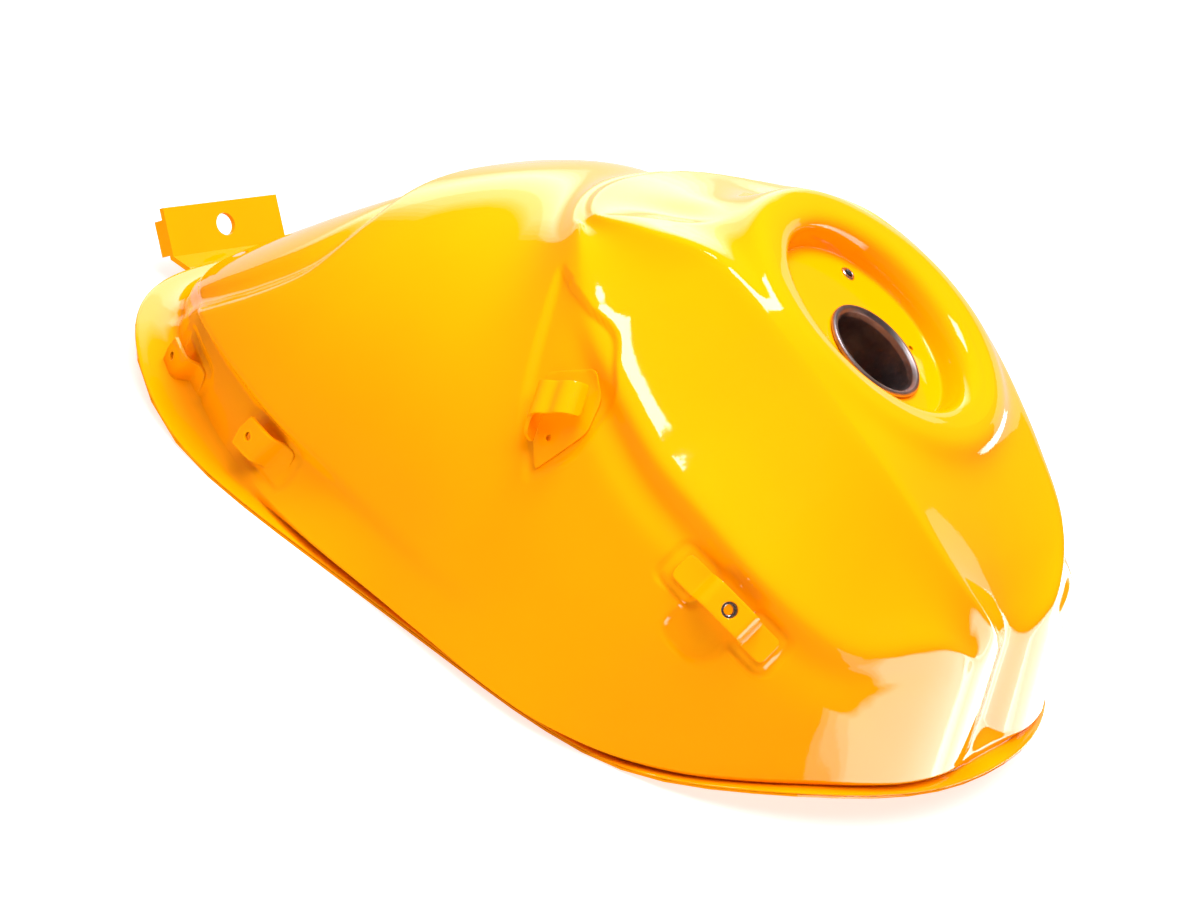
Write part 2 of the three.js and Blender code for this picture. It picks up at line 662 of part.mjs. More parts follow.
// ---- inner baffles, standing on the pan across the tank ----
// Plate across the tank at one y, following the shell with a clear margin, with flow holes.
function baffle(y, halfWidth, floor, holes) {
  const margin = 7;
  const outline = [];
  const steps = 18;
  const start = new THREE.Vector3(0, y, floor + 20);
  for (let i = 0; i <= steps; i++) {
    const angle = (Math.PI * i) / steps;
    const direction = new THREE.Vector3(Math.cos(angle), 0, Math.sin(angle));
    const reach = leaveTank(start, direction).distanceTo(start) - margin;
    const x = Math.max(-halfWidth, Math.min(halfWidth, direction.x * reach));
    outline.push([x, Math.max(direction.z * reach, 0) + start.z]);
  }
  outline.push([-halfWidth, floor], [halfWidth, floor]);
  return plate(outline, SHEET, holes).rotateX(Math.PI / 2).translate(0, y, 0);
}
const landTop = landUnderside + SHEET + GAP;
const BAFFLES = [
  ["baffle_front", 142, 112, [[0, 120, 18], [-70, 80, 14], [70, 80, 14], [0, 62, 12]]],
  ["baffle_rear", 268, 96, [[0, 92, 14], [-55, 62, 11], [55, 62, 11]]],
];
for (const [name, y, halfWidth, holes] of BAFFLES)
  tank.add(mesh(name, baffle(y, halfWidth, landTop + 2, holes), INNER_STEEL));

// ---- rear mounting bracket ----
const TAB_WIDTH = 102;
const TAB_THICKNESS = 3;
const TAB_HOLE_RADIUS = 7;
const TAB_FOOT_Z = SEAM_RISE_REAR - GAP - TAB_THICKNESS - 1;
const TAB_BEND_Y = 420;
const TAB_END = [440, 40]; // y, z of the rear face's upper edge
function rearBracket() {
  const line = [[374, TAB_FOOT_Z], [TAB_BEND_Y, TAB_FOOT_Z], TAB_END];
  const tab = strip(bentSheet(line, TAB_THICKNESS), TAB_WIDTH);
  const lean = Math.atan2(TAB_END[1] - TAB_FOOT_Z, TAB_END[0] - TAB_BEND_Y);
  const hole = rod(TAB_HOLE_RADIUS, 20, 32)
    .scale(1.15, 1, 1)
    .rotateX(lean)
    .translate(0, (TAB_BEND_Y + TAB_END[0]) / 2 - 0.5, (TAB_FOOT_Z + TAB_END[1]) / 2 + 2);
  const ears = SIDES.map(([, put]) => {
    const x = put(new THREE.Vector3(-TAB_WIDTH / 2 + TAB_THICKNESS / 2, 0, 0)).x;
    return box(TAB_THICKNESS, 8, 22).rotateX(lean - Math.PI / 2).translate(x, 430.5, 24.5);
  });
  return cut(unite(tab, ...ears), hole);
}
tank.add(mesh("rear_mount_bracket", rearBracket(), PAINT));

// ---- fairing brackets on the sides ----
const BRACKET_SHEET = 2;

// Folded strip standing on a seat, from a [along, out] line, with optional holes across its faces.
function foldedBracket(line, width, cutters = []) {
  const solid = strip(bentSheet(line, BRACKET_SHEET), width);
  return cutters.length ? cut(solid, ...cutters) : solid;
}

// Cover bracket near the seam: a foot, a step and a raised plate with a screw hole.
const COVER_LINE = [[-17, -5], [-4, -3], [-0.5, 5.6], [3, 6.6], [19, 6.6]];
const coverBracket = () =>
  foldedBracket(COVER_LINE, 19, [rod(2.4, 20, 20).translate(0, 11, 8)]);

// Hat bracket for the front cover: two feet and a raised bridge with a screw hole.
const HAT_LINE = [[-31, -3], [-15.5, -0.4], [-12, 8.8], [12, 8.8], [15.5, -0.4], [31, -3]];
const HAT_WIDTH = 15;
const hatBracket = () =>
  foldedBracket(HAT_LINE, HAT_WIDTH, [rod(3.3, 24, 24).translate(0, 0, 10)]);

// Hook bracket: a leg on the shell that curls outward into a saddle leaning away from the tank.
const HOOK_LINE = [
  [-13, 4.5], [-11.5, 11.5], [-7, 13.5], [-1, 10.5], [6, 12], [10, 9], [11.2, 2], [12, -8],
];
const HOOK_LENGTH = 18;
const HOOK_LEAN = THREE.MathUtils.degToRad(16.7);
const hookSaddle = () => foldedBracket(HOOK_LINE, HOOK_LENGTH).rotateY(HOOK_LEAN);

// Base plate under the hook, [across, along] round its seat.
const HOOK_BASE = [[-34, 12], [-14, -15], [4, -19], [19, -14], [16, 13], [-14, 16]];
const HOOK_BASE_HEIGHT = 1.9; // above the shell
const PLATE_ROOT = 2; // how deep a plate reaches into the shell before it is trimmed

// The corners of an outline with more points spaced evenly between them.
const subdivided = (outline, count) =>
  outline.flatMap(([x, y], i) => {
    const [nextX, nextY] = outline[(i + 1) % outline.length];
    return Array.from({ length: count }, (_, k) => [
      THREE.MathUtils.lerp(x, nextX, k / count),
      THREE.MathUtils.lerp(y, nextY, k / count),
    ]);
  });

// Plate that follows the shell round a seat.
function drapedPlate(outline, matrix, height) {
  const out = new THREE.Vector3(0, 0, 1).transformDirection(matrix);
  const lay = (x, y, offset) =>
    leaveTank(new THREE.Vector3(x, y, -25).applyMatrix4(matrix), out).addScaledVector(out, offset);
  const columns = outline.length;
  const shares = [0.35, 0.7, 1];
  const points = [];
  for (const share of shares)
    for (const [x, y] of outline) points.push(lay(x * share, y * share, height));
  for (const share of shares.toReversed())
    for (const [x, y] of outline) points.push(lay(x * share, y * share, -PLATE_ROOT));
  const triangles = gridTriangles(points, columns, 2 * shares.length, 0, false);
  const top = points.length;
  const last = top - columns;
  points.push(lay(0, 0, height), lay(0, 0, -PLATE_ROOT));
  for (let c = 0; c < columns; c++) {
    const d = (c + 1) % columns;
    triangles.push(top, c, d, top + 1, last + d, last + c);
  }
  return geometryFrom(points.flatMap((p) => p.toArray()), triangles);
}

// Place of each bracket on the right-hand side and the way its section runs.
const seats = {
  rear: [new THREE.Vector3(-150, 302, 22), new THREE.Vector3(0, 1, 0.12)],
  middle: [new THREE.Vector3(-178, 214.5, 27), new THREE.Vector3(0, 1, 0.1)],
  hook: [new THREE.Vector3(-168, 68, 139), new THREE.Vector3(0, 0.87, -0.49)],
  front: [new THREE.Vector3(-151, -57, 96), new THREE.Vector3(-0.36, 0.84, 0.4)],
};

// A point of the shell level with a given one, at the same y.
function onShell(point) {
  const inside = new THREE.Vector3(0, point.y, point.z);
  return leaveTank(inside, new THREE.Vector3(Math.sign(point.x), 0, 0));
}

const placeOf = ([point, heading]) => seatMatrix(onShell(point), heading);
const hookPlate = drapedPlate(subdivided(HOOK_BASE, 3), placeOf(seats.hook), HOOK_BASE_HEIGHT);
const brackets = [
  ["rear_cover_bracket", coverBracket().applyMatrix4(placeOf(seats.rear))],
  ["middle_cover_bracket", coverBracket().applyMatrix4(placeOf(seats.middle))],
  ["side_hook_bracket", unite(hookSaddle().applyMatrix4(placeOf(seats.hook)), hookPlate)],
  ["front_cover_bracket", hatBracket().applyMatrix4(placeOf(seats.front))],
];
for (const [name, bracket] of brackets) {
  const right = trimmed(bracket);
  tank.add(mesh(`${name}_right`, right, PAINT));
  tank.add(mesh(`${name}_left`, mirrorImage(right), PAINT));
}

// Weld nuts under the front bridges.
const NUT_HEIGHT = 4.4;
const NUT_SECTION = [[2.6, 0], [5, 0], [5, 3.5], [4.2, NUT_HEIGHT], [2.6, NUT_HEIGHT]];
const nutRight = turned(NUT_SECTION, 18)
  .translate(0, 0, HAT_LINE[2][1] - GAP - NUT_HEIGHT)
  .applyMatrix4(placeOf(seats.front));
tank.add(mesh("front_weld_nut_right", nutRight, ZINC));
tank.add(mesh("front_weld_nut_left", mirrorImage(nutRight), ZINC));

// ---- front mounting cups under the pan ----
const CUP_X = 111;
const CUP_Y = -40;
const CUP_SECTION = [
  [8, -14], [15, -14], [15, -11], [11, -10], [11, -2], [17, -1.5], [17, 0], [8, 0],
];
for (const [side, put] of SIDES) {
  const x = put(new THREE.Vector3(-CUP_X, 0, 0)).x;
  const top = seamHeight(CUP_Y) + panRise(CUP_X, CUP_Y, 100) - GAP;
  const m = mesh(`front_mount_cup_${side}`, turned(CUP_SECTION, 28), INNER_STEEL);
  m.position.set(x, CUP_Y, top);
  tank.add(m);
}

// The origin goes to the middle of the underside of the whole tank.
const extent = new THREE.Box3().setFromObject(tank);
tank.position.set(0, -(extent.min.y + extent.max.y) / 2, -extent.min.z);

export default tank;
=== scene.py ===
"""Looks of the motorcycle fuel tank: fine pressed skin, welded brackets, bare filler neck and gloss paint."""
import json
import math

import bmesh
import bpy
import numpy as np
from mathutils import Matrix, Vector
from mathutils.geometry import delaunay_2d_cdt


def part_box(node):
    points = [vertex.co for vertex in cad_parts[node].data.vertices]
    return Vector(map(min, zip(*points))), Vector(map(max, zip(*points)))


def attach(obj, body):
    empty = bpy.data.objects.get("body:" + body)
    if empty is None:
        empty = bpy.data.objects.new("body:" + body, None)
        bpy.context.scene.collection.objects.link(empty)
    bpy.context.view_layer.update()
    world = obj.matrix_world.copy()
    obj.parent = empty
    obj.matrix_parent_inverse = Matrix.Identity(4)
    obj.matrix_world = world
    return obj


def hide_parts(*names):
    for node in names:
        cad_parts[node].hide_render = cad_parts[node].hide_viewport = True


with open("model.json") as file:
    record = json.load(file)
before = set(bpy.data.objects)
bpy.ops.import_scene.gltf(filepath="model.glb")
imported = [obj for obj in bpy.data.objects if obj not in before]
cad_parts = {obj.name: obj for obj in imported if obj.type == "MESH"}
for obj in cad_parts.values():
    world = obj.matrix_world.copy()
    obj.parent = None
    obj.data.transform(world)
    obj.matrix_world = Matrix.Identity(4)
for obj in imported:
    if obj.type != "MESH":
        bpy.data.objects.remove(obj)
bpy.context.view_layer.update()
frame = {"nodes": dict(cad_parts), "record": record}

# ---- driving dimensions of the tank ----
# Millimetres in the tank's own frame, with the dish centre at y = 0.
HALF_WIDTH, FRONT_Y, FRONT_LENGTH, FRONT_POWER = 197.0, 30.0, 194.0, 2.2
REAR_Y, REAR_LENGTH, REAR_POWER = 165.0, 237.0, 2.6
SEAM_LIP, SEAM_RISE_FRONT, SEAM_RISE_REAR, OUTLINE_CENTRE_Y = 9.0, 22.0, 20.0, 60.0
DISH_Z, DISH_TILT, DISH_DEPTH = 207.0, math.radians(22.9), 18.5
SHOULDER_SAG = 6.0
COLLAR_RADIUS, COLLAR_HEIGHT = 84.5, 1.5
NECK_FORWARD = 12.9
DISH_UP = np.array([0.0, -math.sin(DISH_TILT), math.cos(DISH_TILT)])
DISH_FORWARD = np.array([0.0, -math.cos(DISH_TILT), -math.sin(DISH_TILT)])
DISH_CENTRE = np.array([0.0, 0.0, DISH_Z])
FARTHEST, OUTLINE_HALVINGS = 500.0, 44


def ease(t):
    """Smooth step from 0 to 1."""
    c = np.clip(t, 0.0, 1.0)
    return c * c * c * (c * (6 * c - 15) + 10)


def smooth_max(a, b, k):
    h = np.maximum(k - np.abs(a - b), 0.0) / k
    return np.maximum(a, b) + h * h * h * k / 6


def smooth_min(a, b, k):
    return -smooth_max(-a, -b, k)


def guide(pairs):
    """A smooth curve through (station, value) pairs, held level past its ends."""
    xs = np.array([p[0] for p in pairs], float)
    ys = np.array([p[1] for p in pairs], float)
    order = np.arange(len(xs))
    before, after = np.maximum(order - 1, 0), np.minimum(order + 1, len(xs) - 1)
    slope = (ys[after] - ys[before]) / (xs[after] - xs[before])

    def value(x):
        x = np.clip(x, xs[0], xs[-1])
        i = np.clip(np.searchsorted(xs, x, side="right") - 1, 0, len(xs) - 2)
        w = xs[i + 1] - xs[i]
        t = (x - xs[i]) / w
        rise = ys[i + 1] - ys[i]
        a, b = slope[i] * w - rise, rise - slope[i + 1] * w
        return ys[i] + t * rise + t * (1 - t) * ((1 - t) * a + t * b)

    return value


body_top = guide([
    (-164, 34), (-150, 38), (-140, 54), (-130, 72), (-118, 84), (-100, 92), (-80, 99), (-55, 108),
    (-25, 122), (10, 141), (45, 166), (75, 186), (100, 196), (130, 197), (180, 191), (215, 184),
    (245, 173), (262, 164), (290, 143), (315, 122), (340, 101), (370, 80), (402, 63)])
body_power = guide([(-164, 6), (-60, 5), (20, 3.4), (80, 2.3), (400, 3.2)])
band_top = guide([(-60, 30), (0, 34), (120, 36), (200, 42), (260, 50), (320, 54), (402, 50)])
band_depth = guide([(-90, 0), (-10, 4), (120, 5), (200, 8), (270, 13), (330, 12), (402, 6)])
tail_edge = guide([
    (15, 338), (43, 319), (67, 291), (85, 270), (109, 247), (125, 240), (149, 240), (170, 252)])
ridge_half = guide([
    (-154, 4), (-146, 26), (-133, 50), (-114, 66), (-85, 76), (-52, 85), (-6, 93), (53, 90),
    (100, 98), (220, 106)])
ridge_top = guide([
    (-154, 88), (-146, 102), (-133, 121), (-114, 139), (-85, 160), (-52, 180), (-6, 202), (53, 221), (100, 216),
    (150, 202), (220, 190)])
centre_top = guide([
    (-154, 74), (-143, 86), (-132, 102), (-114, 127), (-85, 157), (-60, 179), (0, 202), (60, 214), (100, 215),
    (150, 205), (220, 192)])
# Hood outside its ridges, round the dish: [angle from the front in degrees, value].
ridge_radius = guide([
    (-10, 148), (0, 145), (10, 148), (20.6, 142), (30, 132), (42, 114), (58, 100), (86.4, 93.5),
    (120, 104), (135, 139), (145, 160), (180, 160)])
ridge_level = guide([
    (-10, 102), (0, 94), (10, 102), (20.6, 121), (30, 139), (42, 160), (58, 180), (86.4, 202),
    (120, 221), (135, 216), (145, 206), (180, 204)])
edge_radius = guide([
    (-8, 146), (0, 140), (8, 146), (15, 150), (22, 152), (29, 154), (35, 156), (40, 158), (46, 160),
    (52, 162.5), (59, 165), (67, 167), (81, 167), (92, 165), (105, 163), (122, 166), (180, 164)])
edge_level = guide([
    (-8, 82), (0, 74), (8, 82), (15, 91), (22, 99), (29, 104), (35, 102), (40, 98), (46, 95), (52, 98),
    (59, 106), (67, 117), (81, 135), (92, 145), (105, 160), (122, 181), (135, 198), (145, 203), (180, 201)])
wall_flare = guide([(0, 0.15), (25, 0.2), (45, 0.2), (70, 0.18), (92, 0.3), (180, 0.4)])
wall_tuck = guide([(25, 0), (45, 1.5), (60, 4.5), (85, 6), (105, 5), (125, 0)])


def seam_height(y):
    """The seam lifts toward the front and the rear."""
    return SEAM_RISE_FRONT * ease((-20 - y) / 145) + SEAM_RISE_REAR * ease((y - 230) / 170)


def outline_ratio(x, y, inset):
    """1 on the seam outline moved inward by inset, less inside it."""
    side = np.abs(x) / (HALF_WIDTH - inset)
    ahead = np.maximum((FRONT_Y - y) / (FRONT_LENGTH - inset), 0)
    behind = np.maximum((y - REAR_Y) / (REAR_LENGTH - inset), 0)
    front = (side**FRONT_POWER + ahead**FRONT_POWER) ** (1 / FRONT_POWER)
    rear = (side**REAR_POWER + behind**REAR_POWER) ** (1 / REAR_POWER)
    return np.where(y < FRONT_Y, front, np.where(y > REAR_Y, rear, side))


def outline_points(angle, inset):
    """Points on the seam outline moved inward by inset, found by halving."""
    dx, dy = np.sin(angle), -np.cos(angle)
    near, far = np.zeros_like(angle), np.full_like(angle, FARTHEST)
    for _ in range(OUTLINE_HALVINGS):
        r = (near + far) / 2
        inside = outline_ratio(dx * r, OUTLINE_CENTRE_Y + dy * r, inset) < 1
        near, far = np.where(inside, r, near), np.where(inside, far, r)
    return dx * near, OUTLINE_CENTRE_Y + dy * near


def body_field(a, y, z):
    """Lower body with its seam band and stepped tail; below 0 inside, a is the distance off centre."""
    seam, n = seam_height(y), body_power(y)
    plan = outline_ratio(a, y, SEAM_LIP)
    height = np.maximum(z - seam, 0) / (body_top(y) - seam)
    shape = ((plan**n + height**n) ** (1 / n) - 1) * 190
    band = band_depth(y) * (1 - ease((z - band_top(y) + 9) / 18))
    behind = y - tail_edge(z)
    tail = 10 * ease(behind / 13) + 2.5 * np.exp(-(((behind - 15) / 8) ** 2))
    return shape + smooth_max(band, tail, 4)


def hood_field(a, y, z):
    """Raised hood: hollow between its ridges, sloping to its edge outside them, walls below."""
    u = a / np.maximum(ridge_half(y), 6)
    inner = centre_top(y) + (ridge_top(y) - centre_top(y)) * u * u / (0.35 + 0.65 * u)
    angle = np.degrees(np.arctan2(a, -y))
    radius = np.hypot(a, y)
    inside, outside = ridge_radius(angle), edge_radius(angle)
    share = (radius - inside) / np.maximum(outside - inside, 9)
    fall = edge_level(angle) - ridge_level(angle)
    across = np.clip(share, 0, 1)
    outer = ridge_level(angle) + fall * share - SHOULDER_SAG * 4 * across * (1 - across)
    top = (z - smooth_min(inner, outer, 9)) / 1.22
    below = edge_level(angle) - z
    tuck = wall_tuck(angle) * np.exp(-(((below - 15) / 9) ** 2))
    wall = radius - outside - wall_flare(angle) * below + tuck
    return smooth_max(top, wall, 8)


def collar_field(a, y, z):
    """Raised round collar of the filler dish."""
    h = -y * math.sin(DISH_TILT) + (z - DISH_Z) * math.cos(DISH_TILT)
    r = np.sqrt(a * a + (y + h * math.sin(DISH_TILT)) ** 2 + (z - DISH_Z - h * math.cos(DISH_TILT)) ** 2)
    return smooth_max(h - COLLAR_HEIGHT, (r - COLLAR_RADIUS - 0.5 * (COLLAR_HEIGHT - h)) / 1.1, 12)


def tank_field(x, y, z):
    """Whole tank: below 0 inside, 0 on the skin."""
    a = np.abs(x)
    blend = 9 + 31 * ease((y - 20) / 80)
    lower = smooth_min(body_field(a, y, z), hood_field(a, y, z), blend)
    return smooth_min(lower, collar_field(a, y, z), 18)


# ---- from the tank's own frame to the row frame ----
# The pump ring sits at PUMP_Y in the tank's own frame, so its box gives the shift between the two.
PUMP_Y = 195.0
ring_low, ring_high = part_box("pump_mount_ring")
SHIFT_Y = (ring_low[1] + ring_high[1]) * 500 - PUMP_Y


def add_object(name, data):
    obj = bpy.data.objects.new(name, data)
    bpy.context.scene.collection.objects.link(obj)
    return obj


def to_row(points):
    """Millimetres in the tank's own frame to metres in the row frame."""
    p = np.array(points, float).reshape(-1, 3).copy()
    p[:, 1] += SHIFT_Y
    return p / 1000


def gradient(p, field, e=0.4):
    """Unit outward direction of a field at points."""
    x, y, z = p.T
    g = np.stack([
        field(x + e, y, z) - field(x - e, y, z),
        field(x, y + e, z) - field(x, y - e, z),
        field(x, y, z + e) - field(x, y, z - e)], axis=1)
    return g / np.linalg.norm(g, axis=1)[:, None]


def leave(start, direction, field, reach=420.0, turns=34):
    """Where rays that start inside the tank leave it."""
    near, far = np.zeros(len(start)), np.full(len(start), reach)
    for _ in range(turns):
        r = (near + far) / 2
        p = start + direction * r[:, None]
        inside = field(p[:, 0], p[:, 1], p[:, 2]) < 0
        near, far = np.where(inside, r, near), np.where(inside, far, r)
    return start + direction * near[:, None]


# ---- seats of the brackets on the right-hand side, in millimetres ----
class Seat:
    """A place on the shell: out of the tank, along the bracket and across it."""

    def __init__(self, point, heading):
        start = np.array([[0.0, point[1], point[2]]])
        hit = leave(start, np.array([[-1.0, 0.0, 0.0]]), tank_field)
        self.origin = hit[0]
        self.out = gradient(hit, tank_field)[0]
        along = np.array(heading, float)
        along -= self.out * along.dot(self.out)
        self.along = along / np.linalg.norm(along)
        self.across = np.cross(self.along, self.out)

    def local(self, x, y, z):
        """Coordinates of points of the right half in this seat: across, along, out."""
        p = np.stack([-np.abs(x), y, z], axis=-1) - self.origin
        return p @ self.across, p @ self.along, p @ self.out

    def matrix(self, side):
        """Placing matrix in metres; side is -1 for the right and 1 for the left."""
        m = Matrix.Identity(4)
        origin = to_row(self.origin)[0]
        for i, axis in enumerate((self.across, self.along, self.out)):
            for j in range(3):
                m[j][i] = axis[j]
        for j in range(3):
            m[j][3] = origin[j]
        return m if side < 0 else Matrix.Scale(-1, 4, (1, 0, 0)) @ m


rear_seat = Seat((-150, 302, 22), (0, 1, 0.12))
middle_seat = Seat((-178, 214.5, 27), (0, 1, 0.1))
hook_seat = Seat((-168, 68, 139), (0, 0.87, -0.49))
front_seat = Seat((-151, -57, 96), (-0.36, 0.84, 0.4))


def rounded_box(u, v, centre, half, radius):
    """Signed distance to a rounded rectangle."""
    du = np.abs(u - centre[0]) - half[0] + radius
    dv = np.abs(v - centre[1]) - half[1] + radius
    outside = np.hypot(np.maximum(du, 0), np.maximum(dv, 0))
    return outside + np.minimum(np.maximum(du, dv), 0) - radius


def polygon_distance(u, v, corners, radius):
    """Signed distance to a convex polygon with softened corners."""
    total = None
    n = len(corners)
    for i in range(n):
        (x0, y0), (x1, y1) = corners[i], corners[(i + 1) % n]
        length = math.hypot(x1 - x0, y1 - y0)
        d = ((u - x0) * (y1 - y0) - (v - y0) * (x1 - x0)) / length
        total = d if total is None else smooth_max(total, d, radius)
    return total


# Pocket pressed round the hook bracket: (y, z) corners on the side of the tank.
POCKET = [(66, 178), (44, 158), (45, 122), (63, 97), (84, 118), (122, 186)]
POCKET_DEPTH, HOLLOW_DEPTH = 3.2, 3.2
FRONT_GROOVE, FRONT_GROOVE_WIDTH = 1.6, 1.7
COVER_GROOVE, COVER_GROOVE_WIDTH = 1.1, 2.0
SIDE_START, SIDE_BLEND = 95, 20  # details fade in from this far off centre
SEAT_REACH, SEAT_BLEND = 9, 6  # and out this far off a bracket's seat


def groove(u, v, centre, half, radius, width):
    """Groove along a rounded rectangle, 1 deep."""
    return np.exp(-((rounded_box(u, v, centre, half, radius) / width) ** 2))


def near_seat(w):
    """1 close to the plane of a bracket's seat, 0 well off it."""
    return 1 - ease((np.abs(w) - SEAT_REACH) / SEAT_BLEND)


def side_details(x, y, z):
    """Depth of the pocket, grooves and hollows pressed into the sides, in millimetres."""
    side = ease((np.abs(x) - SIDE_START) / SIDE_BLEND)
    pocket = polygon_distance(y, z, POCKET, 8.0)
    dent = POCKET_DEPTH * (1 - ease((pocket + 4.5) / 6.0)) * side
    u, v, w = front_seat.local(x, y, z)
    near = near_seat(w) * side
    for foot in (-24.0, 24.0):
        dent = dent + FRONT_GROOVE * groove(u, v, (0, foot), (11.5, 12.0), 5.0, FRONT_GROOVE_WIDTH) * near
    hollow = rounded_box(u, v, (-13.0, 2.0), (17.0, 14.0), 10.0)
    dent = dent + HOLLOW_DEPTH * (1 - ease((hollow + 3) / 6.0)) * near
    for seat in (rear_seat, middle_seat):
        u, v, w = seat.local(x, y, z)
        near = near_seat(w) * side
        dent = dent + COVER_GROOVE * groove(u, v, (0, 1.0), (14.0, 21.0), 6.0, COVER_GROOVE_WIDTH) * near
    return dent


def fine_field(x, y, z):
    """Tank with its pressed details."""
    return tank_field(x, y, z) + side_details(x, y, z)


# ---- pressed skin ----
COLUMNS, ROWS = ((640, 330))
SHEET, SEAM_GAP = 1.2, 0.3
FLANGE_TOP = 2 * SHEET + SEAM_GAP
RIM_RADIUS, RIM_UP = 76, -50.0  # where the first rays start, in the dish's frame
BASE_SHARE, BASE_LIFT = 0.62, 8.0  # where the last rays start: share of the outline, height over the seam
ROW_CROWDING = 0.85  # below 1, rows crowd toward the seam
# Wall of the filler dish: (radius, height) from the floor up to the collar.
DISH_WALL = [
    (56.4, -18.6), (57.0, -18.4), (57.6, -17.8), (57.9, -17.0), (58.3, -14.0), (59.2, -9.5), (60.3, -6.0),
    (61.2, -4.0), (62.3, -2.4), (63.7, -1.0), (65.4, 0.0), (67.4, 0.75), (69.6, 1.2), (72.4, 1.45)]
angles = -math.pi + 2 * math.pi * (np.arange(COLUMNS) + 0.5) / COLUMNS


def dish_points(left, forward, up):
    """Points given in the tilted frame of the filler dish."""
    p = DISH_CENTRE + np.multiply.outer(forward, DISH_FORWARD) + np.multiply.outer(up, DISH_UP)
    p[..., 0] += left
    return p


def skin_rows():
    """Rows of skin points from the dish floor over the tank to the folded seam edge."""
    sine, cosine = np.sin(angles), np.cos(angles)
    rows = [dish_points(sine * r, cosine * r, np.full(COLUMNS, up)) for r, up in DISH_WALL]
    foot_x, foot_y = outline_points(angles, SEAM_LIP)
    rim = dish_points(sine * RIM_RADIUS, cosine * RIM_RADIUS, np.full(COLUMNS, RIM_UP))
    base = np.stack([
        foot_x * BASE_SHARE,
        OUTLINE_CENTRE_Y + (foot_y - OUTLINE_CENTRE_Y) * BASE_SHARE,
        seam_height(foot_y) + BASE_LIFT], axis=1)
    outward = np.stack([foot_x, foot_y - OUTLINE_CENTRE_Y, np.zeros(COLUMNS)], axis=1)
    outward /= np.linalg.norm(outward, axis=1)[:, None]
    starts, ways = [], []
    for r in range(ROWS):
        s = (r / (ROWS - 1)) ** ROW_CROWDING
        turn = s * s * (3 - 2 * s)
        way = DISH_UP * (1 - turn) + outward * turn
        starts.append(rim * (1 - s) + base * s)
        ways.append(way / np.linalg.norm(way, axis=1)[:, None])
    wall = leave(np.concatenate(starts), np.concatenate(ways), fine_field).reshape(ROWS, COLUMNS, 3)
    rows.extend(wall)
    last = wall[-1]
    # Bend into the flat seam flange, its edge and its underside: (share, inset, height over the seam).
    bends = [
        (0.25, SEAM_LIP, 5.6), (0.55, SEAM_LIP, 4.0), (0.85, SEAM_LIP, 3.1), (1.0, SEAM_LIP - 1, FLANGE_TOP),
        (1.0, 5.0, FLANGE_TOP), (1.0, 2.0, FLANGE_TOP), (1.0, 0.5, FLANGE_TOP),
        (1.0, 0.0, FLANGE_TOP - 0.35), (1.0, -0.1, FLANGE_TOP - 0.8),
        (1.0, 0.3, FLANGE_TOP - SHEET), (1.0, 6.0, FLANGE_TOP - SHEET)]
    for share, inset, up in bends:
        ex, ey = outline_points(angles, inset)
        edge = np.stack([ex, ey, seam_height(ey) + up], axis=1)
        row = last * (1 - share) + edge * share
        row[:, 2] = edge[:, 2]
        rows.append(row)
    return np.array(rows)


def grid_object(name, rows):
    """A smooth-shaded surface from rows of points that close round their columns."""
    count, columns = rows.shape[:2]
    index = np.arange(count * columns).reshape(count, columns)
    nxt = np.roll(index, -1, axis=1)
    quads = np.stack([index[:-1], index[1:], nxt[1:], nxt[:-1]], axis=-1).reshape(-1, 4)
    mesh = bpy.data.meshes.new(name)
    mesh.from_pydata(to_row(rows.reshape(-1, 3)).tolist(), [], quads.tolist())
    mesh.update()
    mesh.shade_smooth()
    return add_object(name, mesh)


# ---- materials ----
def node_material(name):
    """New material with its node tree and its shader."""
    material = bpy.data.materials.new(name)
    material.use_nodes = True
    tree = material.node_tree
    shader = tree.nodes["Principled BSDF"]
    return material, tree, shader


def add_noise(tree, scale, detail=2.0, roughness=0.5):
    place = tree.nodes.get("place") or tree.nodes.new("ShaderNodeTexCoord")
    place.name = "place"
    noise = tree.nodes.new("ShaderNodeTexNoise")
    noise.inputs["Scale"].default_value = scale
    noise.inputs["Detail"].default_value = detail
    noise.inputs["Roughness"].default_value = roughness
    tree.links.new(place.outputs["Object"], noise.inputs["Vector"])
    return noise


def add_ramp(tree, source, stops):
    ramp = tree.nodes.new("ShaderNodeValToRGB")
    for element, (position, colour) in zip(ramp.color_ramp.elements, stops):
        element.position = position
        element.color = (*colour, 1.0)
    tree.links.new(source, ramp.inputs["Fac"])
    return ramp


def add_range(tree, source, low, high):
    level = tree.nodes.new("ShaderNodeMapRange")
    level.inputs["To Min"].default_value = low
    level.inputs["To Max"].default_value = high
    tree.links.new(source, level.inputs["Value"])
    return level


def add_bump(tree, shader, source, distance, strength=1.0, sockets=("Normal",)):
    bump = tree.nodes.new("ShaderNodeBump")
    bump.inputs["Distance"].default_value = distance
    bump.inputs["Strength"].default_value = strength
    tree.links.new(source, bump.inputs["Height"])
    for socket in sockets:
        tree.links.new(bump.outputs["Normal"], shader.inputs[socket])


